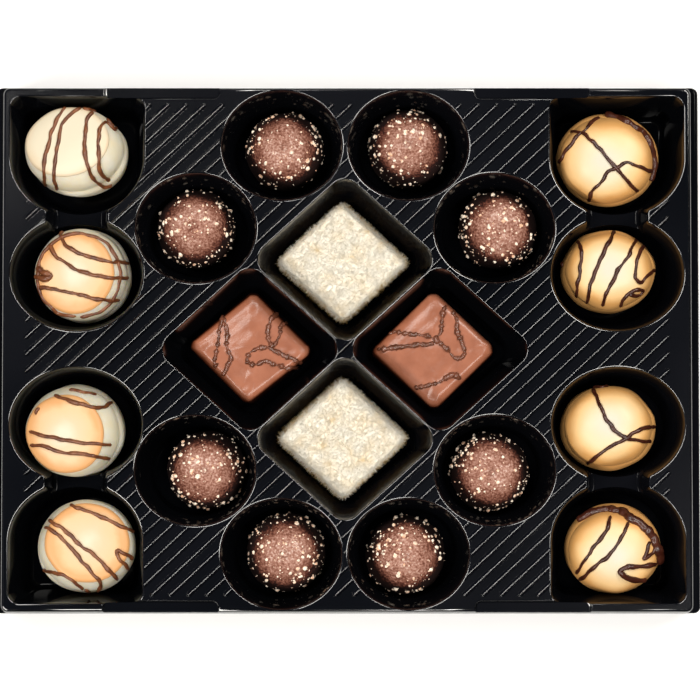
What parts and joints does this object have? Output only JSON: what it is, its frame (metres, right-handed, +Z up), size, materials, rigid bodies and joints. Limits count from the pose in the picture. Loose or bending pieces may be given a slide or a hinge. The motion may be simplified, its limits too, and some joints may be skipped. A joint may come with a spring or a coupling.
{
  "type": "tray of assorted biscuits and chocolates",
  "caption": "Black moulded plastic box tray with ribbed deck, holding drizzled balls, domes, crumbed cocoa truffles, coconut squares and milk chocolate squares",
  "frame": {"origin": "middle of the tray's footprint, on the surface that it stands on", "axes": "+X along the tray's long side to the right, +Y to its back edge, +Z up"},
  "size_m": [0.2124, 0.16, 0.0293],
  "materials": {
    "tray": "gloss",
    "caramel_ball": "satin",
    "cream_dome": "satin",
    "truffle": "matte",
    "coconut": "matte",
    "milk_chocolate": "satin"
  },
  "bodies": {
    "root": {"tray": "tray", "caramel_ball_1": "caramel_ball", "caramel_ball_2": "caramel_ball", "caramel_ball_3": "caramel_ball", "caramel_ball_4": "caramel_ball", "cream_dome_1": "cream_dome", "cream_dome_2": "cream_dome", "cream_dome_3": "cream_dome", "cream_dome_4": "cream_dome", "cocoa_truffle_1": "truffle", "cocoa_truffle_2": "truffle", "cocoa_truffle_3": "truffle", "cocoa_truffle_4": "truffle", "cocoa_truffle_5": "truffle", "cocoa_truffle_6": "truffle", "cocoa_truffle_7": "truffle", "cocoa_truffle_8": "truffle", "coconut_square_1": "coconut", "coconut_square_2": "coconut", "milk_square_1": "milk_chocolate", "milk_square_2": "milk_chocolate"}
  },
  "joints": []
}
